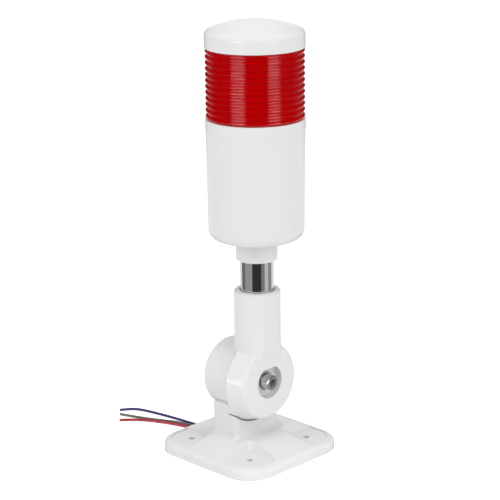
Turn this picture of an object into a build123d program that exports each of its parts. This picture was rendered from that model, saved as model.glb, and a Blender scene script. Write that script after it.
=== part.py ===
# Single red signal tower light on a folding wall or bench bracket.
# Millimetres, +Z up. The origin is the centre of the base plate's underside.
# +X points along the fold pivot, from the fixed ear to the folding arm.

import os
from math import pi, radians, tan

from build123d import *

os.makedirs("parts", exist_ok=True)

# Clearances
running_gap = 0.05
loose_gap = 0.1
fold_gap = 0.3
way_overlap = 1.0

# Base plate
plate_side = 72.6
plate_corner = 15.0
plate_edge = 5.8
plate_edge_round = 2.8
plate_wall = 3.2
plate_roof = 3.0
ridge_slope = 0.29
crown_half = 17.5
pocket_mouth = 10.2
pocket_corner = 4.8
pocket_draft = 31.0
pocket_floor = 5.4
pocket_rim = 3.7
screw_spacing = 43.0
screw_hole_radius = 1.6
screw_boss_radius = 5.0
hub_half = 11.5
hub_roof = 2.0
notch_width = 10.0
notch_height = 4.5

# Pedestal
pedestal_back = -12.1
pedestal_front = 6.0
pedestal_half_depth = 15.2
pedestal_corner = 2.2
pedestal_foot = 2.2
pedestal_top = 28.2
pedestal_top_round = 1.2
duct_back = -10.0
duct_front = 0.0
duct_half_depth = 4.0
duct_corner = 1.5

# Fold pivot
pivot_height = 40.8
ear_radius = 18.4
ear_back = -15.9
ear_back_round = 2.5
joint_face = 5.0
disc_rim_radius = 22.9
disc_rim_round = 1.0
disc_face_radius = 19.3
disc_face_round = 2.2
saddle_gap = 0.5
saddle_back = 0.0
arm_face = 15.6
lead_ring_inner = 7.0
lead_ring_outer = 12.0
lead_ring_depth = 8.0
arm_ring_depth = 5.0

# Pivot screw, M5 socket cap
pivot_screw_radius = 2.5
pivot_head_radius = 4.0
pivot_head_length = 5.0
pivot_head_round = 0.5
hex_key = 4.0
hex_key_depth = 2.6
washer_radius = 5.0
washer_bore = 2.65
washer_thickness = 1.0
counterbore_radius = 8.8
counterbore_depth = 4.0
nut_flats = 8.0
nut_thickness = 4.0
nut_recess = 1.0

# Tower axis, pole and socket
tower_x = 7.0
pole_radius = 8.75
pole_wall = 1.2
pole_bottom = 68.0
pole_top = 134.0
socket_radius = 12.2
socket_top = 90.2
socket_round = 1.6
socket_bore_chamfer = 0.5
scoop_rise = 10.2
scoop_slope = 0.215
scoop_blend = 25.0
lead_bore_radius = 4.5
arm_root = 45.0

# Lower housing
neck_radius = 10.8
neck_lip_radius = 9.5
neck_bottom = 104.6
neck_chamfer_top = 106.8
housing_bottom = 118.0
housing_low_radius = 24.65
housing_low_round = 5.0
housing_top_radius = 25.3
housing_top = 180.2
housing_wall = 2.2
housing_floor = 3.0
band_height = 5.2
band_step = 0.15
pole_boss_radius = 11.0
ledge_width = 3.6
ledge_thickness = 3.0
ledge_root = 1.0

# Lens
lens_height = 35.8
lens_crest_radius = 25.0
lens_rib_depth = 0.7
lens_ribs = 12
lens_wall = 2.1
lens_spigot = 5.0
spigot_wall = 1.5

# Cap
cap_radius = 25.25
cap_side_height = 7.9
dome_rise = 5.6
cap_wall = 2.2
cap_edge_round = 3.0
cap_spigot = 5.0

# Seals
seal_thickness = 1.2
seal_groove = 0.7

# Tie screws, M3, through the housing into the cap
tie_circle = 15.5
tie_count = 3
tie_turn = 60.0
tie_key = 2.0
tie_radius = 1.5
tie_head_radius = 2.75
tie_head_length = 2.4
tie_head_recess = 3.0
tie_boss_radius = 3.4
tie_grip = 12.0
cap_boss_drop = 9.0

# Control board and light engine
board_height = 147.0
board_radius = 19.2
board_thickness = 1.6
capacitor_radius = 4.0
capacitor_height = 12.0
capacitor_offset = 10.0
terminal_width = 15.0
terminal_depth = 7.6
terminal_height = 9.0
terminal_offset = 10.0
resistor_length = 6.3
resistor_width = 3.1
resistor_height = 0.8
resistor_pitch = 12.0
column_flats = 18.0
column_bore = 6.5
column_top = 208.0
flange_radius = 21.2
flange_thickness = 2.0
strip_count = 6
strip_width = 8.6
strip_thickness = 1.0
strip_length = 29.0
led_size = 5.0
led_thickness = 1.5
led_rows = 4
led_pitch = 6.8

# Pole lock screws, M3 pan head
lock_radius = 1.5
lock_head_radius = 2.8
lock_head_length = 1.9
lock_reach = 1.0
socket_lock_height = 80.0
neck_lock_drop = 6.0

# Leads
lead_radius = 0.7
lead_floor = lead_radius
lead_count = 3
bend_share = 0.45
inner_lead_end = 50.0
inner_lead_circle = 2.6
light_lead_pitch = 4.0

# Sizes that follow from those above
plate_half = plate_side / 2
slope_start_half = plate_half - plate_edge_round - loose_gap
crown_height = plate_edge + ridge_slope * (slope_start_half - crown_half)
lens_top = housing_top + lens_height
cap_side_top = lens_top + cap_side_height
cap_apex = cap_side_top + dome_rise
neck_lock_height = housing_bottom - neck_lock_drop
saddle_radius = disc_rim_radius + saddle_gap
scoop_start = pivot_height + scoop_rise
column_bottom = housing_top - lens_spigot - seal_thickness
housing_inner_radius = housing_top_radius - housing_wall
spigot_radius = housing_inner_radius - loose_gap
lens_bore = lens_crest_radius - lens_rib_depth - lens_wall
counterbore_floor = arm_face - counterbore_depth
head_seat = counterbore_floor + washer_thickness
nut_seat = ear_back + nut_recess + nut_thickness
screw_pivot_end = ear_back + nut_recess
strip_turn = 180 / strip_count
tower_axis = Axis((tower_x, 0, 0), (0, 0, 1))
pivot_axis = Axis((0, 0, pivot_height), (1, 0, 0))
tower_section = Plane((tower_x, 0, 0), x_dir=(1, 0, 0), z_dir=(0, -1, 0))


def across(x):
    """Plane square to the fold pivot at x, with its own x along Y."""
    return Plane((x, 0, pivot_height), x_dir=(0, 1, 0), z_dir=(1, 0, 0))


def level(z):
    """Horizontal plane centred on the tower axis at height z."""
    return Plane((tower_x, 0, z))


def write(piece, name):
    """Label a finished piece and write its file."""
    piece.label = name
    export_step(piece, f"parts/{name}.step")


# Ear: the fixed half of the hinge, a thick disc with a rounded back rim
with BuildPart() as ear:
    with BuildSketch(across(ear_back)):
        Circle(ear_radius)
    extrude(amount=joint_face - ear_back)
    back_rim = ear.faces().sort_by(Axis.X)[0].edges()
    fillet(back_rim, ear_back_round)

# Pockets for the fixing screws, drafted towards the pedestal and closed by a low rim at each corner
with BuildPart() as pockets:
    pocket_middle = pocket_mouth + plate_half / 2
    with BuildSketch(Plane.XY.offset(crown_height)):
        with GridLocations(2 * pocket_middle, 2 * pocket_middle, 2, 2):
            RectangleRounded(plate_half, plate_half, pocket_corner)
    extrude(amount=-(crown_height - pocket_floor), taper=pocket_draft)
    with BuildSketch(Plane.XY.offset(pocket_floor)):
        RectangleRounded(
            plate_side - 2 * pocket_rim, plate_side - 2 * pocket_rim, plate_corner - pocket_rim
        )
    extrude(amount=crown_height, mode=Mode.INTERSECT)

# Base: plate, cross, pedestal and ear moulded as one piece
with BuildPart() as base:
    with BuildSketch():
        RectangleRounded(plate_side, plate_side, plate_corner)
    extrude(amount=plate_edge)
    fillet(base.faces().sort_by(Axis.Z)[-1].edges(), plate_edge_round)
    # The top slopes up from all four sides to a level crown round the pedestal
    slope_corner = plate_corner - plate_half + slope_start_half
    with BuildSketch(Plane.XY.offset(plate_edge)):
        RectangleRounded(2 * slope_start_half, 2 * slope_start_half, slope_corner)
    with BuildSketch(Plane.XY.offset(crown_height)):
        RectangleRounded(2 * crown_half, 2 * crown_half, pocket_corner)
    loft(ruled=True)
    with BuildSketch(Plane.XY.offset(plate_edge)):
        with Locations(((pedestal_back + pedestal_front) / 2, 0)):
            RectangleRounded(
                pedestal_front - pedestal_back, 2 * pedestal_half_depth, pedestal_corner
            )
    extrude(amount=pedestal_top - plate_edge)
    fillet(base.faces().sort_by(Axis.Z)[-1].edges(), pedestal_top_round)
    foot_edges = base.edges().filter_by(
        lambda e: abs(e.center().Z - crown_height) < running_gap
        and abs(e.center().X) < crown_half - pedestal_corner
        and abs(e.center().Y) < crown_half - loose_gap
    )
    fillet(foot_edges, pedestal_foot)
    add(pockets.part, mode=Mode.SUBTRACT)
    # Room for the arm's disc: a saddle in front of the joint face, and a thin slot behind it
    with BuildSketch(across(joint_face)):
        Circle(saddle_radius)
    extrude(amount=arm_face, mode=Mode.SUBTRACT)
    with BuildSketch(across(saddle_back)):
        Circle(saddle_radius)
        Circle(disc_rim_radius, mode=Mode.SUBTRACT)
    extrude(amount=joint_face - saddle_back, mode=Mode.SUBTRACT)
    add(ear.part)
    # Hollow underside, with a boss round each fixing hole
    with BuildSketch():
        RectangleRounded(
            plate_side - 2 * plate_wall, plate_side - 2 * plate_wall, plate_corner - plate_wall
        )
        with GridLocations(screw_spacing, screw_spacing, 2, 2):
            Circle(screw_boss_radius, mode=Mode.SUBTRACT)
    extrude(amount=plate_edge - plate_roof, mode=Mode.SUBTRACT)
    with BuildSketch():
        Rectangle(2 * hub_half, 2 * hub_half)
    extrude(amount=crown_height - hub_roof, mode=Mode.SUBTRACT)
    with BuildSketch():
        with GridLocations(screw_spacing, screw_spacing, 2, 2):
            Circle(screw_hole_radius)
    extrude(amount=crown_height, mode=Mode.SUBTRACT)
    # Lead way: ring round the pivot, duct down the pedestal, groove and notch
    with BuildSketch(across(joint_face)):
        Circle(lead_ring_outer)
        Circle(lead_ring_inner, mode=Mode.SUBTRACT)
    extrude(amount=-lead_ring_depth, mode=Mode.SUBTRACT)
    with BuildSketch(Plane.XY.offset(crown_height - hub_roof)):
        with Locations(((duct_back + duct_front) / 2, 0)):
            RectangleRounded(duct_front - duct_back, 2 * duct_half_depth, duct_corner)
    duct_top = pivot_height - lead_ring_inner - way_overlap
    extrude(amount=duct_top - crown_height + hub_roof, mode=Mode.SUBTRACT)
    with BuildSketch():
        with Locations((-hub_half / 2, 0)):
            Rectangle(plate_half, notch_width, align=(Align.MAX, Align.CENTER))
    extrude(amount=notch_height, mode=Mode.SUBTRACT)
    # Pivot bore and hexagonal nut pocket
    with BuildSketch(across(ear_back)):
        Circle(pivot_screw_radius + running_gap)
    extrude(amount=joint_face - ear_back, mode=Mode.SUBTRACT)
    with BuildSketch(across(ear_back)):
        RegularPolygon(nut_flats / 2 + loose_gap, 6, major_radius=False)
    extrude(amount=nut_recess + nut_thickness, mode=Mode.SUBTRACT)
write(base.part, "base")

# Pivot screw with a hexagon socket, its washer and nut
with BuildPart() as pivot_screw:
    with BuildSketch(across(head_seat)):
        Circle(pivot_head_radius)
    extrude(amount=pivot_head_length)
    fillet(pivot_screw.faces().sort_by(Axis.X)[-1].edges(), pivot_head_round)
    with BuildSketch(across(head_seat + pivot_head_length)):
        RegularPolygon(hex_key / 2, 6, major_radius=False)
    extrude(amount=-hex_key_depth, mode=Mode.SUBTRACT)
    with BuildSketch(across(screw_pivot_end)):
        Circle(pivot_screw_radius)
    extrude(amount=head_seat - screw_pivot_end)
write(pivot_screw.part, "pivot_screw")

with BuildPart() as pivot_washer:
    with BuildSketch(across(counterbore_floor)):
        Circle(washer_radius)
        Circle(washer_bore, mode=Mode.SUBTRACT)
    extrude(amount=washer_thickness)
write(pivot_washer.part, "pivot_washer")

with BuildPart() as pivot_nut:
    with BuildSketch(across(nut_seat)):
        RegularPolygon(nut_flats / 2, 6, major_radius=False)
        Circle(pivot_screw_radius + running_gap, mode=Mode.SUBTRACT)
    extrude(amount=-nut_thickness)
write(pivot_nut.part, "pivot_nut")

# Arm: disc on the pivot and the socket that takes the pole, one moulding
with BuildPart() as arm_disc:
    with BuildSketch(Plane((0, 0, pivot_height), x_dir=(1, 0, 0), z_dir=(0, -1, 0))):
        with BuildLine():
            Polyline(
                (joint_face, 0), (joint_face, disc_rim_radius), (arm_face, disc_face_radius),
                (arm_face, 0), close=True,
            )
        make_face()
    revolve(axis=pivot_axis)
    disc_edges = arm_disc.edges().filter_by(GeomType.CIRCLE).sort_by(Axis.X)
    fillet(disc_edges[0], disc_rim_round)
    disc_edges = arm_disc.edges().filter_by(GeomType.CIRCLE).sort_by(Axis.X)
    fillet(disc_edges[-1], disc_face_round)

with BuildPart() as arm:
    with BuildSketch(level(arm_root)):
        Circle(socket_radius)
    extrude(amount=socket_top - arm_root)
    # The socket passes over the ear on a face curved about the pivot
    with BuildSketch(across(joint_face)):
        Circle(ear_radius + fold_gap)
    extrude(amount=-plate_half, mode=Mode.SUBTRACT)
    # A sloping flat carries the disc's face up into the socket
    with BuildSketch(Plane.XZ):
        with BuildLine():
            scoop_end = (arm_face + scoop_slope * (socket_top - scoop_start), socket_top)
            FilletPolyline(
                (arm_face, pivot_height), (arm_face, scoop_start), scoop_end, radius=scoop_blend
            )
            Polyline(
                scoop_end, (plate_half, socket_top), (plate_half, pivot_height), (arm_face, pivot_height)
            )
        make_face()
    extrude(amount=socket_radius + loose_gap, both=True, mode=Mode.SUBTRACT)
    add(arm_disc.part)
    # Pole bore, lead bore and the ring that feeds the leads round the pivot
    with BuildSketch(level(pole_bottom)):
        Circle(pole_radius + running_gap)
    extrude(amount=socket_top - pole_bottom, mode=Mode.SUBTRACT)
    rim = arm.faces().sort_by(Axis.Z)[-1].edges().sort_by(SortBy.LENGTH)
    fillet(rim[-1], socket_round)
    chamfer(rim[0], socket_bore_chamfer)
    with BuildSketch(level(pivot_height + lead_ring_inner + way_overlap)):
        Circle(lead_bore_radius)
    extrude(amount=pole_bottom - pivot_height - lead_ring_inner, mode=Mode.SUBTRACT)
    with BuildSketch(across(joint_face)):
        Circle(lead_ring_outer)
        Circle(lead_ring_inner, mode=Mode.SUBTRACT)
    extrude(amount=arm_ring_depth, mode=Mode.SUBTRACT)
    with BuildSketch(across(arm_face)):
        Circle(counterbore_radius)
    extrude(amount=-counterbore_depth, mode=Mode.SUBTRACT)
    with BuildSketch(across(joint_face)):
        Circle(pivot_screw_radius + running_gap)
    extrude(amount=arm_face, mode=Mode.SUBTRACT)
    with BuildSketch(Plane((tower_x, 0, socket_lock_height), x_dir=(0, 1, 0), z_dir=(-1, 0, 0))):
        Circle(lock_radius + loose_gap)
    extrude(amount=socket_radius + loose_gap, mode=Mode.SUBTRACT)
write(arm.part, "arm")

# Pole: a plain steel tube, drilled at both ends for its lock screws
with BuildPart() as pole:
    with BuildSketch(level(pole_bottom)):
        Circle(pole_radius)
        Circle(pole_radius - pole_wall, mode=Mode.SUBTRACT)
    extrude(amount=pole_top - pole_bottom)
    for height in (socket_lock_height, neck_lock_height):
        with BuildSketch(Plane((tower_x, 0, height), x_dir=(0, 1, 0), z_dir=(-1, 0, 0))):
            Circle(lock_radius + loose_gap)
        extrude(amount=socket_radius, mode=Mode.SUBTRACT)
write(pole.part, "pole")

# Lock screws: one through the socket, one through the neck, both at the back
with BuildPart() as pole_screws:
    for height, wall_radius in ((socket_lock_height, socket_radius), (neck_lock_height, neck_radius)):
        seat = Plane((tower_x - wall_radius, 0, height), x_dir=(0, 1, 0), z_dir=(-1, 0, 0))
        with BuildSketch(seat):
            Circle(lock_head_radius)
        extrude(amount=lock_head_length)
        with BuildSketch(seat):
            Circle(lock_radius)
        extrude(amount=pole_radius - pole_wall - lock_reach - wall_radius)
write(pole_screws.part, "pole_screws")

# Lower housing: cylinder, floor, pole neck and the ledge that carries the lens
with BuildPart() as housing:
    with BuildSketch(tower_section):
        with BuildLine():
            Polyline(
                (pole_radius + running_gap, neck_bottom),
                (neck_lip_radius, neck_bottom),
                (neck_radius, neck_chamfer_top),
                (neck_radius, housing_bottom),
                (housing_low_radius, housing_bottom),
                (housing_top_radius - band_step, housing_top - band_height),
                (housing_top_radius, housing_top - band_height),
                (housing_top_radius, housing_top),
                (housing_inner_radius, housing_top),
                (housing_inner_radius, column_bottom),
                (housing_inner_radius - ledge_width, column_bottom),
                (housing_inner_radius - ledge_width, column_bottom - ledge_thickness),
                (housing_inner_radius - ledge_root, column_bottom - ledge_thickness - ledge_width),
                (housing_low_radius - housing_wall, housing_bottom + housing_floor),
                (pole_boss_radius, housing_bottom + housing_floor),
                (pole_boss_radius, pole_top),
                (pole_radius + running_gap, pole_top),
                close=True,
            )
        make_face()
    revolve(axis=tower_axis)
    low_rim = housing.edges().filter_by(GeomType.CIRCLE).filter_by(
        lambda e: abs(e.center().Z - housing_bottom) < running_gap and e.radius > neck_radius + loose_gap
    )
    fillet(low_rim, housing_low_round)
    with BuildSketch(level(housing_bottom + housing_floor)):
        with PolarLocations(tie_circle, tie_count, start_angle=tie_turn):
            Circle(tie_boss_radius)
    extrude(amount=board_height - housing_bottom - housing_floor)
    with BuildSketch(level(housing_bottom)):
        with PolarLocations(tie_circle, tie_count, start_angle=tie_turn):
            Circle(tie_radius + loose_gap)
    extrude(amount=board_height - housing_bottom, mode=Mode.SUBTRACT)
    with BuildSketch(level(housing_bottom)):
        with PolarLocations(tie_circle, tie_count, start_angle=tie_turn):
            Circle(tie_head_radius + loose_gap)
    extrude(amount=tie_head_recess, mode=Mode.SUBTRACT)
    with BuildSketch(Plane((tower_x, 0, neck_lock_height), x_dir=(0, 1, 0), z_dir=(-1, 0, 0))):
        Circle(lock_radius + loose_gap)
    extrude(amount=neck_radius + loose_gap, mode=Mode.SUBTRACT)
write(housing.part, "housing")

# Lens: ribbed tube with a spigot that drops into the housing
with BuildPart() as red_lens:
    rib_pitch = lens_height / lens_ribs
    valley = lens_crest_radius - lens_rib_depth
    with BuildSketch(tower_section):
        with BuildLine():
            Polyline(
                (valley, lens_top),
                (lens_bore, lens_top),
                (lens_bore, housing_top - lens_spigot),
                (spigot_radius, housing_top - lens_spigot),
                (spigot_radius, housing_top),
                (valley, housing_top),
            )
            for rib in range(lens_ribs):
                foot = housing_top + rib * rib_pitch
                ThreePointArc(
                    (valley, foot), (lens_crest_radius, foot + rib_pitch / 2), (valley, foot + rib_pitch)
                )
        make_face()
    revolve(axis=tower_axis)
write(red_lens.part, "red_lens")

# Cap: domed shell with a spigot into the lens and bosses for the tie screws
with BuildPart() as cap:
    dome_crown = (cap_radius**2 + dome_rise**2) / (2 * dome_rise)
    spigot_outer = lens_bore - loose_gap
    spigot_inner = spigot_outer - spigot_wall
    groove_top = lens_top - (cap_spigot - seal_thickness) / 2
    with BuildSketch(tower_section):
        with BuildLine():
            RadiusArc((0, cap_apex), (cap_radius, cap_side_top), dome_crown)
            Polyline(
                (cap_radius, cap_side_top),
                (cap_radius, lens_top),
                (spigot_outer, lens_top),
                (spigot_outer, groove_top),
                (spigot_outer - seal_groove, groove_top),
                (spigot_outer - seal_groove, groove_top - seal_thickness),
                (spigot_outer, groove_top - seal_thickness),
                (spigot_outer, lens_top - cap_spigot),
                (spigot_inner, lens_top - cap_spigot),
                (spigot_inner, cap_side_top - cap_wall),
            )
            RadiusArc((0, cap_apex - cap_wall), (spigot_inner, cap_side_top - cap_wall), dome_crown)
            Line((0, cap_apex - cap_wall), (0, cap_apex))
        make_face()
    revolve(axis=tower_axis)
    cap_shoulder = cap.edges().filter_by(GeomType.CIRCLE).filter_by(
        lambda e: abs(e.center().Z - cap_side_top) < running_gap and e.radius > cap_radius - loose_gap
    )
    fillet(cap_shoulder, cap_edge_round)
    with BuildSketch(level(lens_top - cap_boss_drop)):
        with PolarLocations(tie_circle, tie_count, start_angle=tie_turn):
            Circle(tie_boss_radius)
    extrude(amount=cap_boss_drop + cap_side_top - lens_top)
    with BuildSketch(level(lens_top - cap_boss_drop)):
        with PolarLocations(tie_circle, tie_count, start_angle=tie_turn):
            Circle(tie_radius + running_gap)
    extrude(amount=tie_grip + loose_gap, mode=Mode.SUBTRACT)
write(cap.part, "cap")

# Seals: one under the lens on the housing's ledge, one in the cap's groove
with BuildPart() as lens_seal:
    with BuildSketch(level(column_bottom)):
        Circle(spigot_radius)
        Circle(flange_radius + loose_gap, mode=Mode.SUBTRACT)
    extrude(amount=seal_thickness)
write(lens_seal.part, "lens_seal")

with BuildPart() as cap_seal:
    with BuildSketch(level(groove_top - seal_thickness)):
        Circle(lens_bore - running_gap)
        Circle(spigot_outer - seal_groove, mode=Mode.SUBTRACT)
    extrude(amount=seal_thickness)
write(cap_seal.part, "cap_seal")

# Tie screws: heads in the housing's floor, threads in the cap's bosses
with BuildPart() as tie_screws:
    tie_seat = housing_bottom + tie_head_recess
    with BuildSketch(level(tie_seat)):
        with PolarLocations(tie_circle, tie_count, start_angle=tie_turn):
            Circle(tie_head_radius)
            RegularPolygon(tie_key / 2, 6, major_radius=False, mode=Mode.SUBTRACT)
    extrude(amount=-tie_head_length)
    with BuildSketch(level(tie_seat - tie_head_length / 2)):
        with PolarLocations(tie_circle, tie_count, start_angle=tie_turn):
            Circle(tie_radius)
    extrude(amount=lens_top - cap_boss_drop + tie_grip - tie_seat + tie_head_length / 2)
write(tie_screws.part, "tie_screws")

# Control board on the housing's bosses, and the parts soldered to it
with BuildPart() as control_board:
    with BuildSketch(level(board_height)):
        Circle(board_radius)
        with PolarLocations(tie_circle, tie_count, start_angle=tie_turn):
            Circle(tie_radius + loose_gap, mode=Mode.SUBTRACT)
    extrude(amount=board_thickness)
write(control_board.part, "control_board")

with BuildPart() as board_parts:
    board_top = board_height + board_thickness
    with BuildSketch(level(board_top)):
        with Locations((capacitor_offset, 0)):
            Circle(capacitor_radius)
    extrude(amount=capacitor_height)
    with BuildSketch(level(board_top)):
        with Locations((-terminal_offset, 0)):
            Rectangle(terminal_depth, terminal_width)
    extrude(amount=terminal_height)
    with BuildSketch(level(board_top)):
        with GridLocations(0, resistor_pitch, 1, 2):
            Rectangle(resistor_length, resistor_width)
    extrude(amount=resistor_height)
write(board_parts.part, "board_parts")

# Light column: flange on the ledge and a six sided post for the light strips
with BuildPart() as light_column:
    with BuildSketch(level(column_bottom)):
        Circle(flange_radius)
        with PolarLocations(tie_circle, tie_count, start_angle=tie_turn):
            Circle(tie_radius + loose_gap, mode=Mode.SUBTRACT)
    extrude(amount=flange_thickness)
    with BuildSketch(level(column_bottom)):
        RegularPolygon(column_flats / 2, 6, major_radius=False)
    extrude(amount=column_top - column_bottom)
    with BuildSketch(level(column_bottom)):
        Circle(column_bore)
    extrude(amount=column_top - column_bottom - flange_thickness, mode=Mode.SUBTRACT)
write(light_column.part, "light_column")

strip_bottom = column_bottom + flange_thickness
with BuildPart() as led_strips:
    with BuildSketch(level(strip_bottom)):
        with PolarLocations((column_flats + strip_thickness) / 2, strip_count, start_angle=strip_turn):
            Rectangle(strip_thickness, strip_width)
    extrude(amount=strip_length)
write(led_strips.part, "led_strips")

with BuildPart() as leds:
    led_reach = column_flats / 2 + strip_thickness + led_thickness / 2
    led_first = strip_bottom + (strip_length - (led_rows - 1) * led_pitch - led_size) / 2
    for row in range(led_rows):
        with BuildSketch(level(led_first + row * led_pitch)):
            with PolarLocations(led_reach, strip_count, start_angle=strip_turn):
                Rectangle(led_thickness, led_size)
        extrude(amount=led_size)
write(leds.part, "leds")

# Leads inside the tower: three down the pole, two up to the light column
with BuildPart() as inner_leads:
    with BuildSketch(level(inner_lead_end)):
        with PolarLocations(inner_lead_circle, lead_count):
            Circle(lead_radius)
    extrude(amount=board_height - inner_lead_end)
    with BuildSketch(level(board_top)):
        with GridLocations(0, light_lead_pitch, 1, 2):
            Circle(lead_radius)
    extrude(amount=column_top - flange_thickness - board_top)
write(inner_leads.part, "inner_leads")


def lead_length(points):
    """Length of the straight runs of a route, end to end."""
    return sum((Vector(*b) - Vector(*a)).length for a, b in zip(points, points[1:]))


def lead_radii(points):
    """Largest tangent arc at each corner of a route."""
    runs = [Vector(*b) - Vector(*a) for a, b in zip(points, points[1:])]
    return [
        bend_share * min(one.length, two.length) / tan(radians(one.get_angle(two) / 2))
        for one, two in zip(runs, runs[1:])
    ]


# Free leads: down the duct, through the groove and out over the surface
lead_routes = {
    "wire_blue": [
        (-1.0, 2.2, 29.0), (-2.0, 2.2, 16.5), (-8.4, 2.1, 3.4), (-22.0, 2.0, 0.8),
        (-36.5, 1.9, lead_floor),
        (-50.0, 0.7, lead_floor), (-62.0, -0.6, lead_floor), (-72.0, -2.3, lead_floor),
        (-80.5, -4.0, lead_floor), (-86.4, -7.1, lead_floor), (-89.4, -12.9, lead_floor),
    ],
    "wire_grey": [
        (-1.0, 0.0, 29.0), (-2.0, 0.0, 16.5), (-8.4, -0.1, 3.4), (-22.0, -0.2, 0.8),
        (-37.0, -0.4, lead_floor),
        (-49.0, -1.8, lead_floor), (-60.0, -6.9, lead_floor), (-72.0, -12.8, lead_floor),
        (-84.7, -16.9, lead_floor),
    ],
    "wire_red": [
        (-1.0, -2.2, 29.0), (-2.0, -2.2, 16.5), (-8.4, -2.3, 3.4), (-22.0, -2.4, 0.8),
        (-36.0, -2.7, lead_floor),
        (-47.5, -5.0, lead_floor), (-58.3, -8.8, lead_floor), (-68.2, -13.6, lead_floor),
        (-74.2, -18.6, lead_floor), (-78.3, -23.0, lead_floor),
    ],
}
for name, points in lead_routes.items():
    radii = lead_radii(points)
    with BuildPart() as wire:
        with BuildLine() as route:
            FilletPolyline(*points, radius=radii)
        with BuildSketch(Plane(route.line @ 0, z_dir=route.line % 0)):
            Circle(lead_radius)
        sweep()
    write(wire.part, name)
    tube = sum(edge.length for edge in route.edges())
    by_volume = wire.part.volume / (pi * lead_radius**2)
    print(name, "radii", [round(r, 1) for r in radii])
    runs = lead_length(points)
    print(name, "runs", round(runs, 1), "tube", round(tube, 1), "by volume", round(by_volume, 1))
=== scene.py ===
"""Single red signal tower light on a folding bracket, dressed over its construction model."""

from math import cos, pi, radians, sin

import bpy
from mathutils import Matrix, Vector


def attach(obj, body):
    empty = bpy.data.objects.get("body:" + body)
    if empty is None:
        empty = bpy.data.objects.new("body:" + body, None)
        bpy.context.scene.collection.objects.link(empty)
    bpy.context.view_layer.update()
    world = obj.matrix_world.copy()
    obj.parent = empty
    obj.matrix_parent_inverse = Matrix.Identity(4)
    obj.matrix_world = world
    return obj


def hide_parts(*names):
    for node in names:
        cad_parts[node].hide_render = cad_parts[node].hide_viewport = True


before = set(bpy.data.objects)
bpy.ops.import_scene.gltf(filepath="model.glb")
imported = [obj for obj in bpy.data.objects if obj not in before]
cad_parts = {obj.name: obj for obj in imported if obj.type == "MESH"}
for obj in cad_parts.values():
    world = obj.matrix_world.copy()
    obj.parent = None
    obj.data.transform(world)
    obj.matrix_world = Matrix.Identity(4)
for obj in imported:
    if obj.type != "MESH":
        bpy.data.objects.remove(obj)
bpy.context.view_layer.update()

bl_info = {
    "name": "Signal Tower Light",
    "version": (1, 0, 0),
    "blender": (4, 5, 0),
    "location": "View3D > Sidebar > Tower Light",
    "description": "Dresses a folding signal tower light over its construction model",
    "category": "Object",
}

MM = 0.001
TOWER_X = 7.0

# Distances in metres within which points are merged or count as level, angles in degrees up to which faces
# are shaded smooth, and the sides of a turned shape
COPY_MERGE = 0.000002
RING_MERGE = 0.00001
LEVEL_REACH = 0.00001
COPY_SMOOTH = 32
TURNED_SMOOTH = 40
TURNED_SIDES = 144

# Lens, in millimetres: a sine wave for the ribs, with its bore and the spigot that sits in the housing
LENS_BOTTOM = 180.2
LENS_TOP = 216.0
LENS_CREST_RADIUS = 25.0
LENS_RIB_DEPTH = 0.7
LENS_RIBS = 12
LENS_STEPS = 12
LENS_BORE = 22.2
LENS_SPIGOT_RADIUS = 23.0
LENS_SPIGOT = 5.0

# Neck of the housing: the height of each ring of its lower rim in the solids, and how far up it is moved
NECK_LIFTS = ((104.6, 1.6), (105.7, 0.7), (106.8, -0.2))

# Cap: a flatter crown than the solids have and a round at its shoulder, a spigot with the seal's groove, and
# three bosses for the tie screws
CAP_RADIUS = 25.25
CAP_TOP = 229.5
CAP_CROWN = 65.06
CAP_ROUND = 3.4
CAP_ROUND_HEIGHT = 222.1
CAP_ROUND_START = 20.76
CAP_CROWN_STEP = 1.5
CAP_RINGS = 13
CAP_WALL = 2.2
SPIGOT_OUTER = 22.1
SPIGOT_INNER = 20.6
SPIGOT_BOTTOM = 211.0
GROOVE_RADIUS = 21.4
GROOVE_TOP = 214.1
GROOVE_BOTTOM = 212.9
BOSS_COUNT = 3
BOSS_SIDES = 48
BOSS_TURN = 60
BOSS_CIRCLE = 15.5
BOSS_RADIUS = 3.4
BOSS_BOTTOM = 207.0
BOSS_TOP = 226.4
BOSS_WALL = 1.85
BOSS_BORE = 12.1


# Colours and nodes

def linear(hex_colour):
    """sRGB hex text to a linear RGBA tuple."""
    channels = [int(hex_colour[i:i + 2], 16) / 255 for i in (1, 3, 5)]
    return tuple(c / 12.92 if c <= 0.04045 else ((c + 0.055) / 1.055) ** 2.4 for c in channels) + (1.0,)


def add_node(tree, kind, settings=None, inputs=None):
    """Add one node, set its properties, and fill or link its inputs."""
    node = tree.nodes.new(kind)
    for key, value in (settings or {}).items():
        setattr(node, key, value)
    for key, value in (inputs or {}).items():
        if isinstance(value, bpy.types.NodeSocket):
            tree.links.new(value, node.inputs[key])
        else:
            node.inputs[key].default_value = value
    return node


def new_material(name):
    """Empty node material with its output node."""
    material = bpy.data.materials.new(name)
    material.use_nodes = True
    material.node_tree.nodes.clear()
    output = add_node(material.node_tree, "ShaderNodeOutputMaterial")
    return material, material.node_tree, output


def finish_material(tree, output, shader):
    """Link the shader to the output."""
    tree.links.new(shader.outputs[0], output.inputs["Surface"])


def object_noise(tree, spacing_mm, detail=2.0, roughness=0.5):
    """Noise whose features are about spacing_mm apart on the object."""
    place = add_node(tree, "ShaderNodeTexCoord")
    return add_node(
        tree, "ShaderNodeTexNoise", {},
        {
            "Vector": place.outputs["Object"], "Scale": 1 / (spacing_mm * MM),
            "Detail": detail, "Roughness": roughness,
        },
    )


def ranged(tree, noise, low, high):
    """Noise as a value between two limits."""
    return add_node(
        tree, "ShaderNodeMapRange", {}, {"Value": noise.outputs["Fac"], "To Min": low, "To Max": high}
    ).outputs[0]


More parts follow.
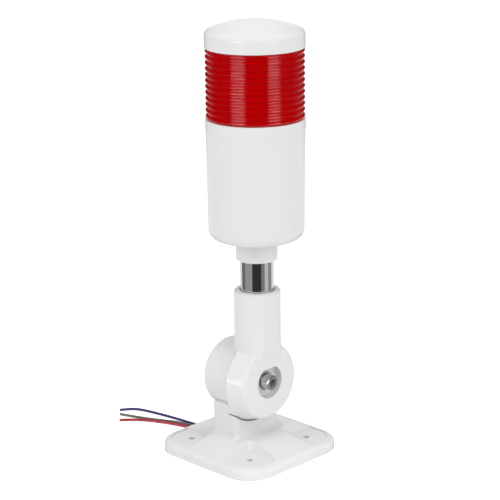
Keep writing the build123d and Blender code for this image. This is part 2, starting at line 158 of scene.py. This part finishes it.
def mottled(tree, noise, colour, low, high):
    """Colour made darker and lighter by noise."""
    shade = ranged(tree, noise, low, high)
    return add_node(
        tree, "ShaderNodeVectorMath", {"operation": "SCALE"}, {0: linear(colour)[:3], "Scale": shade}
    ).outputs[0]


def bump(tree, height, distance_mm, strength):
    """Bump node driven by a height socket."""
    return add_node(
        tree, "ShaderNodeBump", {}, {"Height": height, "Distance": distance_mm * MM, "Strength": strength}
    )


# Materials

def white_abs(colour):
    """Moulded gloss ABS: near white, a clear sharp reflection over a faint orange peel from the tool."""
    material, tree, output = new_material("moulded_white_abs")
    peel = object_noise(tree, 3.0)
    tone = object_noise(tree, 25.0, 3.0)
    tinted = mottled(tree, tone, colour, 0.985, 1.015)
    gloss = ranged(tree, peel, 0.07, 0.1)
    skin = bump(tree, peel.outputs["Fac"], 0.01, 0.1)
    shader = add_node(
        tree, "ShaderNodeBsdfPrincipled", {},
        {
            "Base Color": tinted, "Roughness": gloss, "IOR": 1.53,
            "Specular IOR Level": 0.06, "Normal": skin.outputs[0],
        },
    )
    finish_material(tree, output, shader)
    return material


def red_lens_plastic(colour):
    """Ribbed red AS resin: saturated all the way through, with hard window reflections on the ribs."""
    material, tree, output = new_material("moulded_red_lens")
    depth = object_noise(tree, 12.0, 3.0)
    tinted = mottled(tree, depth, colour, 0.9, 1.1)
    shader = add_node(
        tree, "ShaderNodeBsdfPrincipled", {},
        {"Base Color": tinted, "Roughness": 0.045, "IOR": 1.57},
    )
    finish_material(tree, output, shader)
    return material


def plated_tube(colour):
    """Bright plated steel tube: a mirror with faint lengthwise polishing lines."""
    material, tree, output = new_material("bright_plated_tube")
    place = add_node(tree, "ShaderNodeTexCoord")
    stretch = add_node(
        tree, "ShaderNodeMapping", {}, {"Vector": place.outputs["Object"], "Scale": (1.0, 1.0, 0.02)}
    )
    lines = add_node(
        tree, "ShaderNodeTexNoise", {}, {"Vector": stretch.outputs[0], "Scale": 2500.0, "Detail": 2.0}
    )
    gloss = ranged(tree, lines, 0.03, 0.07)
    shader = add_node(
        tree, "ShaderNodeBsdfPrincipled", {},
        {"Base Color": linear(colour), "Metallic": 1.0, "Roughness": gloss},
    )
    finish_material(tree, output, shader)
    return material


def zinc_steel(colour):
    """Zinc plated steel: grey metal with a fine mottled sheen and darker tool marks."""
    material, tree, output = new_material("zinc_plated_steel")
    mottle = object_noise(tree, 0.6, 4.0, 0.6)
    tinted = mottled(tree, mottle, colour, 0.75, 1.1)
    skin = bump(tree, mottle.outputs["Fac"], 0.02, 0.4)
    shader = add_node(
        tree, "ShaderNodeBsdfPrincipled", {},
        {"Base Color": tinted, "Metallic": 1.0, "Roughness": 0.3, "Normal": skin.outputs[0]},
    )
    finish_material(tree, output, shader)
    return material


def wire_insulation(name, colour):
    """Extruded PVC insulation: soft gloss, slightly uneven along its length."""
    material, tree, output = new_material(name)
    uneven = object_noise(tree, 1.5, 2.0)
    tinted = mottled(tree, uneven, colour, 0.85, 1.1)
    shader = add_node(
        tree, "ShaderNodeBsdfPrincipled", {},
        {"Base Color": tinted, "Roughness": 0.4, "IOR": 1.53},
    )
    finish_material(tree, output, shader)
    return material


def plain_moulding(name, colour, roughness, grain_mm):
    """Matte moulding with a fine grain: seals, board, components."""
    material, tree, output = new_material(name)
    grain = object_noise(tree, grain_mm, 3.0)
    tinted = mottled(tree, grain, colour, 0.85, 1.12)
    skin = bump(tree, grain.outputs["Fac"], 0.02, 0.3)
    shader = add_node(
        tree, "ShaderNodeBsdfPrincipled", {},
        {"Base Color": tinted, "Roughness": roughness, "Normal": skin.outputs[0]},
    )
    finish_material(tree, output, shader)
    return material


# Helpers for pieces

def deselect():
    """Leave object mode with nothing selected."""
    if bpy.context.object and bpy.context.object.mode != "OBJECT":
        bpy.ops.object.mode_set(mode="OBJECT")
    bpy.ops.object.select_all(action="DESELECT")


def paint(piece, material):
    """Give a piece one material."""
    piece.data.materials.clear()
    piece.data.materials.append(material)


def paint_node(name, material):
    """Give a carried-over node its material in every slot."""
    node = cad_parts[name]
    if not node.material_slots:
        node.data.materials.append(material)
    for place in node.material_slots:
        place.material = material


def smooth_copy(name, new_name):
    """Copy of a node with its loose triangles merged and its faces shaded smooth, in the node's place."""
    deselect()
    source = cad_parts[name]
    piece = source.copy()
    piece.data = source.data.copy()
    for key in list(piece.keys()):
        del piece[key]
    piece.name = new_name
    piece.data.name = new_name
    piece.parent = None
    piece.matrix_world = Matrix.Identity(4)
    bpy.context.scene.collection.objects.link(piece)
    piece.select_set(True)
    bpy.context.view_layer.objects.active = piece
    if piece.data.has_custom_normals:
        bpy.ops.mesh.customdata_custom_splitnormals_clear()
    bpy.ops.object.mode_set(mode="EDIT")
    bpy.ops.mesh.select_all(action="SELECT")
    bpy.ops.mesh.remove_doubles(threshold=COPY_MERGE)
    bpy.ops.object.mode_set(mode="OBJECT")
    bpy.ops.object.shade_smooth_by_angle(angle=radians(COPY_SMOOTH))
    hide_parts(name)
    return piece


def turned(name, rings):
    """Open shape turned about the tower's axis: a circle, then one ring after another, in millimetres."""
    deselect()
    radius, height = rings[0]
    bpy.ops.mesh.primitive_circle_add(
        vertices=TURNED_SIDES, radius=radius * MM, location=(TOWER_X * MM, 0, height * MM),
        enter_editmode=True,
    )
    piece = bpy.context.object
    piece.name = name
    piece.data.name = name
    for ring in rings[1:]:
        add_ring(radius, height, *ring)
        radius, height = ring
    bpy.ops.object.mode_set(mode="OBJECT")
    bpy.ops.object.transform_apply(location=True, rotation=True, scale=True)
    return piece


def add_ring(radius, height, next_radius, next_height):
    """Extrude the selected ring to the next radius and height."""
    bpy.ops.mesh.extrude_region_move(TRANSFORM_OT_translate={"value": (0, 0, (next_height - height) * MM)})
    share = next_radius / radius
    bpy.ops.transform.resize(
        value=(share, share, 1.0), center_override=(TOWER_X * MM, 0, next_height * MM)
    )


def select_height(piece, *heights):
    """Select only the points at the given heights, in edit mode."""
    bpy.ops.mesh.select_mode(type="VERT")
    bpy.ops.mesh.select_all(action="DESELECT")
    bpy.ops.object.mode_set(mode="OBJECT")
    for vertex in piece.data.vertices:
        vertex.select = any(abs(vertex.co.z - height * MM) < LEVEL_REACH for height in heights)
    bpy.ops.object.mode_set(mode="EDIT")


def dome_height(radius):
    """Height of the cap's dome at a distance from the tower's axis, in millimetres."""
    return CAP_TOP - CAP_CROWN + (CAP_CROWN**2 - radius**2) ** 0.5


def seat(piece, body):
    """Put a finished piece on its body."""
    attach(piece, body)
    deselect()


# Settings

class TowerColours(bpy.types.PropertyGroup):
    """Colours of the finishes, as sRGB hex text."""

    shell: bpy.props.StringProperty(name="Shell", description="White housings", default="#DFDFDF")
    lens: bpy.props.StringProperty(name="Lens", description="Red lens", default="#AE0003")
    pole: bpy.props.StringProperty(name="Pole", description="Plated tube", default="#D8D8DA")
    steel: bpy.props.StringProperty(name="Steel", description="Screws", default="#E6E6E8")
    blue: bpy.props.StringProperty(name="Blue lead", description="First lead", default="#41387C")
    grey: bpy.props.StringProperty(name="Grey lead", description="Second lead", default="#6F6E66")
    red: bpy.props.StringProperty(name="Red lead", description="Third lead", default="#B5303F")


class TowerLeads(bpy.types.PropertyGroup):
    """Sizes of the free leads."""

    diameter: bpy.props.FloatProperty(
        name="Diameter", description="Outside of the insulation", default=0.0014, unit="LENGTH"
    )


class TowerStage(bpy.types.PropertyGroup):
    """Where the camera stands, and how bright the studio is."""

    azimuth: bpy.props.FloatProperty(
        name="Azimuth", description="Camera round from the front", default=radians(44.80), subtype="ANGLE"
    )
    distance: bpy.props.FloatProperty(
        name="Distance", description="Camera to the object over the ground", default=0.8696, unit="LENGTH"
    )
    height: bpy.props.FloatProperty(
        name="Height", description="Camera above the surface", default=0.3655, unit="LENGTH"
    )
    pan: bpy.props.FloatProperty(
        name="Pan", description="Heading off the object's centre", default=radians(-0.10), subtype="ANGLE"
    )
    pitch: bpy.props.FloatProperty(
        name="Pitch", description="Camera looks down by this", default=radians(16.41), subtype="ANGLE"
    )
    roll: bpy.props.FloatProperty(
        name="Roll", description="Camera turned about its own axis", default=radians(-0.64), subtype="ANGLE"
    )
    lens: bpy.props.FloatProperty(
        name="Lens", description="Focal length on a 36 mm sensor", default=126.6
    )
    ambient: bpy.props.FloatProperty(
        name="Ambient", description="Strength of the studio's even light", default=0.62
    )


# Leads

# Routes in metres, from the ear's duct to the bare end. On the floor, a lead's axis lies one radius up.
LEAD_FLOOR = 0.0007
LEAD_ROUTES = {
    "wire_blue": (
        (-0.0010, 0.0022, 0.0290), (-0.0020, 0.0022, 0.0165), (-0.0084, 0.0021, 0.0034),
        (-0.0220, 0.0020, 0.0008), (-0.0365, 0.0019, LEAD_FLOOR), (-0.0500, 0.0007, LEAD_FLOOR),
        (-0.0620, -0.0006, LEAD_FLOOR), (-0.0720, -0.0023, LEAD_FLOOR), (-0.0805, -0.0040, LEAD_FLOOR),
        (-0.0864, -0.0071, LEAD_FLOOR), (-0.0894, -0.0129, LEAD_FLOOR),
    ),
    "wire_grey": (
        (-0.0010, 0.0, 0.0290), (-0.0020, 0.0, 0.0165), (-0.0084, -0.0001, 0.0034),
        (-0.0220, -0.0002, 0.0008), (-0.0370, -0.0004, LEAD_FLOOR), (-0.0490, -0.0018, LEAD_FLOOR),
        (-0.0600, -0.0069, LEAD_FLOOR), (-0.0720, -0.0128, LEAD_FLOOR), (-0.0847, -0.0169, LEAD_FLOOR),
    ),
    "wire_red": (
        (-0.0010, -0.0022, 0.0290), (-0.0020, -0.0022, 0.0165), (-0.0084, -0.0023, 0.0034),
        (-0.0220, -0.0024, 0.0008), (-0.0360, -0.0027, LEAD_FLOOR), (-0.0475, -0.0050, LEAD_FLOOR),
        (-0.0583, -0.0088, LEAD_FLOOR), (-0.0682, -0.0136, LEAD_FLOOR), (-0.0742, -0.0186, LEAD_FLOOR),
        (-0.0783, -0.0230, LEAD_FLOOR),
    ),
}


class TOWER_OT_leads(bpy.types.Operator):
    """Lay the three free leads along their routes"""

    bl_idname = "tower.leads"
    bl_label = "Leads"

    def execute(self, context):
        colours = context.scene.tower_colours
        diameter = context.scene.tower_leads.diameter
        finishes = {"wire_blue": colours.blue, "wire_grey": colours.grey, "wire_red": colours.red}
        for name, route in LEAD_ROUTES.items():
            curve = bpy.data.curves.new(f"{name}_lead", "CURVE")
            curve.dimensions = "3D"
            spline = curve.splines.new("NURBS")
            spline.points.add(len(route) - 1)
            for point, place in zip(spline.points, route):
                point.co = (*place, 1.0)
            spline.order_u = 3
            spline.use_endpoint_u = True
            spline.resolution_u = 12
            curve.bevel_depth = diameter / 2
            curve.bevel_resolution = 5
            curve.use_fill_caps = True
            lead = bpy.data.objects.new(f"{name}_lead", curve)
            context.scene.collection.objects.link(lead)
            paint(lead, wire_insulation(f"insulation_{name}", finishes[name]))
            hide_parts(name)
            seat(lead, "base")
        return {"FINISHED"}


class TOWER_OT_mouldings(bpy.types.Operator):
    """Finish the white mouldings: base, arm, housing and cap"""

    bl_idname = "tower.mouldings"
    bl_label = "Mouldings"

    def execute(self, context):
        shell = white_abs(context.scene.tower_colours.shell)
        for name, body in (("base", "base"), ("arm", "tower"), ("housing", "tower")):
            piece = smooth_copy(name, f"{name}_moulding")
            if name == "housing":
                self.lift_neck(piece)
            paint(piece, shell)
            seat(piece, body)
        paint_node("light_column", shell)
        self.add_cap(shell)
        return {"FINISHED"}

    def lift_neck(self, piece):
        """Move the rings of the neck's lower rim, so that the neck ends higher and with a smaller chamfer."""
        deselect()
        piece.select_set(True)
        bpy.context.view_layer.objects.active = piece
        bpy.ops.object.mode_set(mode="EDIT")
        for height, lift in NECK_LIFTS:
            select_height(piece, height)
            bpy.ops.transform.translate(value=(0, 0, lift * MM))
        bpy.ops.object.mode_set(mode="OBJECT")
        bpy.ops.object.shade_smooth_by_angle(angle=radians(COPY_SMOOTH))

    def add_cap(self, shell):
        """Domed cap with its spigot, and the bosses for the tie screws."""
        dome = [CAP_CROWN * sin(radians(CAP_CROWN_STEP * (step + 0.5))) for step in range(CAP_RINGS)]
        outside = [(radius, dome_height(radius)) for radius in dome]
        for step in range(CAP_RINGS):
            turn = radians(CAP_ROUND_START + (90 - CAP_ROUND_START) * step / (CAP_RINGS - 1))
            outside.append(
                (CAP_RADIUS - CAP_ROUND + CAP_ROUND * sin(turn), CAP_ROUND_HEIGHT + CAP_ROUND * cos(turn))
            )
        ceiling = [SPIGOT_INNER * (1 - step / (CAP_RINGS - 0.5)) for step in range(CAP_RINGS)]
        inside = [(radius, dome_height(radius) - CAP_WALL) for radius in ceiling]
        spigot = [
            (CAP_RADIUS, LENS_TOP), (SPIGOT_OUTER, LENS_TOP), (SPIGOT_OUTER, GROOVE_TOP),
            (GROOVE_RADIUS, GROOVE_TOP), (GROOVE_RADIUS, GROOVE_BOTTOM), (SPIGOT_OUTER, GROOVE_BOTTOM),
            (SPIGOT_OUTER, SPIGOT_BOTTOM), (SPIGOT_INNER, SPIGOT_BOTTOM),
        ]
        cap = turned("domed_cap", outside + spigot + inside)
        bpy.ops.object.mode_set(mode="EDIT")
        select_height(cap, outside[0][1], inside[-1][1])
        bpy.ops.mesh.merge(type="COLLAPSE")
        bpy.ops.object.mode_set(mode="OBJECT")
        bosses = []
        for number in range(BOSS_COUNT):
            turn = radians(BOSS_TURN + 360 / BOSS_COUNT * number)
            deselect()
            bpy.ops.mesh.primitive_cylinder_add(
                vertices=BOSS_SIDES, radius=BOSS_RADIUS * MM, depth=(BOSS_TOP - BOSS_BOTTOM) * MM,
                location=(
                    (TOWER_X + BOSS_CIRCLE * cos(turn)) * MM, BOSS_CIRCLE * sin(turn) * MM,
                    (BOSS_TOP + BOSS_BOTTOM) / 2 * MM,
                ),
            )
            bpy.ops.object.transform_apply(location=True, rotation=True, scale=True)
            boss = bpy.context.object
            bpy.ops.object.mode_set(mode="EDIT")
            select_height(boss, BOSS_BOTTOM)
            bpy.ops.mesh.inset(thickness=BOSS_WALL * MM)
            bpy.ops.mesh.extrude_region_move(TRANSFORM_OT_translate={"value": (0, 0, BOSS_BORE * MM)})
            bpy.ops.object.mode_set(mode="OBJECT")
            bosses.append(boss)
        deselect()
        for piece in bosses + [cap]:
            piece.select_set(True)
        bpy.context.view_layer.objects.active = cap
        bpy.ops.object.join()
        bpy.ops.object.mode_set(mode="EDIT")
        bpy.ops.mesh.select_all(action="SELECT")
        bpy.ops.mesh.normals_make_consistent(inside=False)
        bpy.ops.object.mode_set(mode="OBJECT")
        bpy.ops.object.shade_smooth_by_angle(angle=radians(TURNED_SMOOTH))
        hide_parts("cap")
        paint(cap, shell)
        seat(cap, "tower")


class TOWER_OT_lens(bpy.types.Operator):
    """Finish the ribbed lens"""

    bl_idname = "tower.lens"
    bl_label = "Lens"

    def execute(self, context):
        swell = LENS_RIB_DEPTH / 2
        middle = LENS_CREST_RADIUS - swell
        pitch = (LENS_TOP - LENS_BOTTOM) / LENS_RIBS
        rings = [
            (middle - swell * cos(2 * pi * step / LENS_STEPS), LENS_BOTTOM + pitch * step / LENS_STEPS)
            for step in range(LENS_STEPS + 1)
        ]
        piece = turned("ribbed_lens", rings)
        ribs = piece.modifiers.new("ribs", "ARRAY")
        ribs.use_relative_offset = False
        ribs.use_constant_offset = True
        ribs.constant_offset_displace = (0, 0, pitch * MM)
        ribs.count = LENS_RIBS
        ribs.use_merge_vertices = True
        ribs.merge_threshold = RING_MERGE
        bpy.ops.object.modifier_apply(modifier=ribs.name)
        bpy.ops.object.mode_set(mode="EDIT")
        select_height(piece, LENS_TOP)
        valley = middle - swell
        add_ring(valley, LENS_TOP, LENS_BORE, LENS_TOP)
        foot = LENS_BOTTOM - LENS_SPIGOT
        add_ring(LENS_BORE, LENS_TOP, LENS_BORE, foot)
        add_ring(LENS_BORE, foot, LENS_SPIGOT_RADIUS, foot)
        add_ring(LENS_SPIGOT_RADIUS, foot, LENS_SPIGOT_RADIUS, LENS_BOTTOM)
        add_ring(LENS_SPIGOT_RADIUS, LENS_BOTTOM, valley, LENS_BOTTOM)
        bpy.ops.mesh.select_all(action="SELECT")
        bpy.ops.mesh.remove_doubles(threshold=RING_MERGE)
        bpy.ops.mesh.normals_make_consistent(inside=False)
        bpy.ops.object.mode_set(mode="OBJECT")
        bpy.ops.object.shade_smooth_by_angle(angle=radians(TURNED_SMOOTH))
        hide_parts("red_lens")
        paint(piece, red_lens_plastic(context.scene.tower_colours.lens))
        seat(piece, "tower")
        return {"FINISHED"}


class TOWER_OT_metal(bpy.types.Operator):
    """Finish the pole and the fasteners"""

    bl_idname = "tower.metal"
    bl_label = "Metal"

    def execute(self, context):
        colours = context.scene.tower_colours
        pole = smooth_copy("pole", "plated_pole")
        paint(pole, plated_tube(colours.pole))
        seat(pole, "tower")
        steel = zinc_steel(colours.steel)
        for name, body in (
            ("pivot_screw", "base"), ("pivot_washer", "base"), ("pivot_nut", "base"),
            ("pole_screws", "tower"), ("tie_screws", "tower"),
        ):
            piece = smooth_copy(name, f"{name}_steel")
            paint(piece, steel)
            seat(piece, body)
        return {"FINISHED"}


class TOWER_OT_inside(bpy.types.Operator):
    """Finish the board, the lights, the seals and the inner leads"""

    bl_idname = "tower.inside"
    bl_label = "Inside"

    def execute(self, context):
        board = plain_moulding("solder_mask_green", "#1E5B38", 0.4, 2.0)
        paint_node("control_board", board)
        paint_node("led_strips", plain_moulding("white_solder_mask", "#D8D8D2", 0.4, 2.0))
        paint_node("board_parts", plain_moulding("component_epoxy", "#2A2A2C", 0.55, 0.5))
        paint_node("leds", plain_moulding("led_encapsulant", "#D9C98A", 0.2, 1.0))
        seal = plain_moulding("seal_rubber", "#26262A", 0.65, 0.4)
        paint_node("lens_seal", seal)
        paint_node("cap_seal", seal)
        paint_node("inner_leads", wire_insulation("insulation_inner", context.scene.tower_colours.red))
        return {"FINISHED"}


# Stage

# What the reflections show. Each has its brightness by degrees round the object, from the camera's side
# towards its right, then the share of it by degrees above the horizon, then its strength.
STUDIO_LIGHTS = (
    # Room and table, as upright walls reflect them
    (
        (
            (-126, 0.0), (-120, 0.19), (-89, 0.19), (-86, 0.38), (-35, 0.38), (-31, 0.04), (27, 0.04),
            (30, 0.25), (50, 0.25), (57, 0.65), (79, 0.65), (84, 0.33), (112, 0.33), (118, 0.0),
        ),
        ((-90, 0.03), (-27, 0.03), (-23, 1.0), (-13, 1.0), (-10, 0.03), (90, 0.03)), 1.0,
    ),
    # Backdrop beside the object
    (
        (
            (-174, 0.0), (-164, 0.93), (-126, 0.93), (-120, 0.0),
            (112, 0.0), (118, 0.93), (164, 0.93), (174, 0.0),
        ),
        ((-90, 0.05), (-21, 0.05), (-19, 1.0), (-14, 1.0), (-12, 0.02), (5, 0.02), (25, 0.1), (90, 0.3)), 1.0,
    ),
    # Backdrop behind it
    (
        ((-174, 0.93), (-164, 0.0), (164, 0.0), (174, 0.93)),
        ((-90, 0.1), (-21, 0.1), (-19, 1.0), (90, 1.0)), 1.0,
    ),
    # Two softboxes, as highlights on ribs and rounded edges
    (
        ((-59, 0.0), (-54, 1.0), (-26, 1.0), (-22, 0.0), (28, 0.0), (32, 1.0), (56, 1.0), (60, 0.0)),
        ((-7, 0.0), (-5, 1.0), (4, 1.0), (6, 0.0)), 20.0,
    ),
)

# Floor: its side, how far it lies under the object, and the glow that keeps it pale for the camera
FLOOR_SIDE = 6.0
FLOOR_DROP = 0.00005
FLOOR_GLOW = 0.45

# Large lamps: name, degrees round from the camera's side, degrees up, and power
LAMPS = (("left_box", -55, 35, 4.0), ("right_box", 50, 35, 4.0), ("top_box", 0, 85, 3.0))
LAMP_REACH = 1.2
LAMP_SIDE = 0.8
LAMP_TARGET = (0.0, 0.0, 0.12)

# Small lamp that lightens the pedestal under the disc
LOW_TURN = 30
LOW_REACH = 0.3
LOW_HEIGHT = 0.04
LOW_TARGET = (0.0, 0.0, -0.02)
LOW_SIDE = 0.1
LOW_POWER = 0.006
LOW_SPREAD = 40


def add_ramp(tree, share, stops):
    """Colour ramp of grey levels, driven by a socket."""
    ramp = add_node(tree, "ShaderNodeValToRGB", {}, {"Fac": share})
    bar = ramp.color_ramp
    while len(bar.elements) < len(stops):
        bar.elements.new(0.5)
    for element, (position, level) in zip(bar.elements, stops):
        element.position = position
        element.color = (level, level, level, 1.0)
    return ramp


def around_stops(stops):
    """Ramp stops from degrees round the object."""
    return [((degree + 180) / 360, level) for degree, level in stops]


def upward_stops(stops):
    """Ramp stops from degrees above the horizon."""
    return [((sin(radians(degree)) + 1) / 2, level) for degree, level in stops]


def add_studio_world(azimuth, ambient):
    """White for the camera, an even light as fill, and the room of STUDIO_LIGHTS in the reflections."""
    world = bpy.data.worlds.new("studio")
    bpy.context.scene.world = world
    world.cycles.sampling_method = "NONE"
    world.use_nodes = True
    tree = world.node_tree
    tree.nodes.clear()
    path = add_node(tree, "ShaderNodeLightPath")
    place = add_node(tree, "ShaderNodeTexCoord")
    facing = add_node(
        tree, "ShaderNodeVectorRotate", {"rotation_type": "Z_AXIS"},
        {"Vector": place.outputs["Generated"], "Angle": pi / 2 - azimuth},
    )
    parts = add_node(tree, "ShaderNodeSeparateXYZ", {}, {"Vector": facing.outputs[0]})
    angle = add_node(
        tree, "ShaderNodeMath", {"operation": "ARCTAN2"}, {0: parts.outputs["Y"], 1: parts.outputs["X"]}
    )
    share = add_node(
        tree, "ShaderNodeMapRange", {}, {"Value": angle.outputs[0], "From Min": -pi, "From Max": pi}
    )
    height = add_node(
        tree, "ShaderNodeMapRange", {}, {"Value": parts.outputs["Z"], "From Min": -1.0, "From Max": 1.0}
    )
    level = (0.0, 0.0, 0.0)
    for around, upward, strength in STUDIO_LIGHTS:
        sides = add_ramp(tree, share.outputs[0], around_stops(around))
        rise = add_ramp(tree, height.outputs[0], upward_stops(upward))
        glow = add_node(
            tree, "ShaderNodeVectorMath", {"operation": "MULTIPLY"},
            {0: sides.outputs["Color"], 1: rise.outputs["Color"]},
        )
        level = add_node(
            tree, "ShaderNodeVectorMath", {"operation": "MULTIPLY_ADD"},
            {0: glow.outputs[0], 1: (strength, strength, strength), 2: level},
        ).outputs[0]
    seen = add_node(
        tree, "ShaderNodeMath", {"operation": "MAXIMUM"},
        {0: path.outputs["Is Camera Ray"], 1: path.outputs["Is Transmission Ray"]},
    )
    even = add_node(tree, "ShaderNodeBackground", {}, {"Color": (1, 1, 1, 1), "Strength": ambient})
    lit = add_node(tree, "ShaderNodeBackground", {}, {"Color": level, "Strength": 1.0})
    white = add_node(tree, "ShaderNodeBackground", {}, {"Color": (1, 1, 1, 1), "Strength": 1.0})
    reflected = add_node(
        tree, "ShaderNodeMixShader", {},
        {0: path.outputs["Is Glossy Ray"], 1: even.outputs[0], 2: lit.outputs[0]},
    )
    final = add_node(
        tree, "ShaderNodeMixShader", {}, {0: seen.outputs[0], 1: reflected.outputs[0], 2: white.outputs[0]}
    )
    output = add_node(tree, "ShaderNodeOutputWorld")
    tree.links.new(final.outputs[0], output.inputs["Surface"])


def add_lamp(name, location, target, size, power, spread=180):
    """Square area lamp that the reflections don't show."""
    light = bpy.data.lights.new(name, "AREA")
    light.shape = "SQUARE"
    light.size = size
    light.energy = power
    light.spread = radians(spread)
    lamp = bpy.data.objects.new(name, light)
    lamp.location = location
    lamp.rotation_euler = (Vector(target) - Vector(location)).to_track_quat("-Z", "Y").to_euler()
    lamp.visible_glossy = False
    bpy.context.scene.collection.objects.link(lamp)


class TOWER_OT_stage(bpy.types.Operator):
    """Set up the pale floor, the studio light and the camera"""

    bl_idname = "tower.stage"
    bl_label = "Stage"

    def execute(self, context):
        stage = context.scene.tower_stage
        deselect()
        bpy.ops.mesh.primitive_plane_add(size=FLOOR_SIDE, location=(0, 0, -FLOOR_DROP))
        floor = context.object
        floor.name = "studio_floor"
        material, tree, output = new_material("studio_paper")
        path = add_node(tree, "ShaderNodeLightPath")
        paper = add_node(tree, "ShaderNodeBsdfDiffuse", {}, {"Color": linear("#FFFFFF")})
        glow = add_node(tree, "ShaderNodeEmission", {}, {"Color": (1, 1, 1, 1), "Strength": FLOOR_GLOW})
        both = add_node(tree, "ShaderNodeAddShader", {}, {0: paper.outputs[0], 1: glow.outputs[0]})
        shown = add_node(
            tree, "ShaderNodeMixShader", {},
            {0: path.outputs["Is Camera Ray"], 1: paper.outputs[0], 2: both.outputs[0]},
        )
        finish_material(tree, output, shown)
        paint(floor, material)
        floor.visible_glossy = False
        deselect()
        add_studio_world(stage.azimuth, stage.ambient)
        self.add_lamps(stage.azimuth)
        self.add_camera(context.scene, stage)
        context.scene.view_settings.view_transform = "Standard"
        return {"FINISHED"}

    def add_lamps(self, azimuth):
        """Three large lamps round the object and above it, and the small low one."""
        for name, turn, rise, power in LAMPS:
            side = azimuth + radians(turn)
            place = (
                LAMP_REACH * sin(side) * cos(radians(rise)), -LAMP_REACH * cos(side) * cos(radians(rise)),
                LAMP_TARGET[2] + LAMP_REACH * sin(radians(rise)),
            )
            add_lamp(name, place, LAMP_TARGET, LAMP_SIDE, power)
        side = azimuth + radians(LOW_TURN)
        place = (LOW_REACH * sin(side), -LOW_REACH * cos(side), LOW_HEIGHT)
        add_lamp("low_box", place, LOW_TARGET, LOW_SIDE, LOW_POWER, LOW_SPREAD)

    def add_camera(self, scene, stage):
        """Camera where the photograph was taken from."""
        a = stage.azimuth
        eye = Vector((stage.distance * sin(a), -stage.distance * cos(a), stage.height))
        heading = a + stage.pan
        ahead = Vector((-sin(heading) * cos(stage.pitch), cos(heading) * cos(stage.pitch), -sin(stage.pitch)))
        right = ahead.cross(Vector((0, 0, 1))).normalized()
        up = right.cross(ahead)
        turned_right = right * cos(stage.roll) + up * sin(stage.roll)
        turned_up = turned_right.cross(ahead)
        camera_data = bpy.data.cameras.new("camera")
        camera_data.lens = stage.lens
        camera_data.sensor_width = 36.0
        camera = bpy.data.objects.new("camera", camera_data)
        axes = Matrix((turned_right, turned_up, -ahead)).transposed().to_4x4()
        camera.matrix_world = Matrix.Translation(eye) @ axes
        scene.collection.objects.link(camera)
        scene.camera = camera


class TOWER_PT_panel(bpy.types.Panel):
    """Lists the steps that dress the tower light"""

    bl_idname = "TOWER_PT_panel"
    bl_label = "Tower Light"
    bl_space_type = "VIEW_3D"
    bl_region_type = "UI"
    bl_category = "Tower Light"

    def draw(self, context):
        for operator in OPERATORS:
            self.layout.operator(operator.bl_idname)


SETTINGS = (("tower_colours", TowerColours), ("tower_leads", TowerLeads), ("tower_stage", TowerStage))
OPERATORS = (
    TOWER_OT_stage, TOWER_OT_leads, TOWER_OT_mouldings, TOWER_OT_lens, TOWER_OT_metal, TOWER_OT_inside,
)


def register():
    """Register the settings, the steps and the panel."""
    for name, group in SETTINGS:
        bpy.utils.register_class(group)
        setattr(bpy.types.Scene, name, bpy.props.PointerProperty(type=group))
    for operator in OPERATORS:
        bpy.utils.register_class(operator)
    bpy.utils.register_class(TOWER_PT_panel)


def unregister():
    """Take them away again, in the opposite order."""
    bpy.utils.unregister_class(TOWER_PT_panel)
    for operator in reversed(OPERATORS):
        bpy.utils.unregister_class(operator)
    for name, group in reversed(SETTINGS):
        delattr(bpy.types.Scene, name)
        bpy.utils.unregister_class(group)


def main():
    """Dress the object."""
    register()
    bpy.ops.tower.stage()
    bpy.ops.tower.leads()
    bpy.ops.tower.mouldings()
    bpy.ops.tower.lens()
    bpy.ops.tower.metal()
    bpy.ops.tower.inside()


if __name__ == "__main__":
    main()
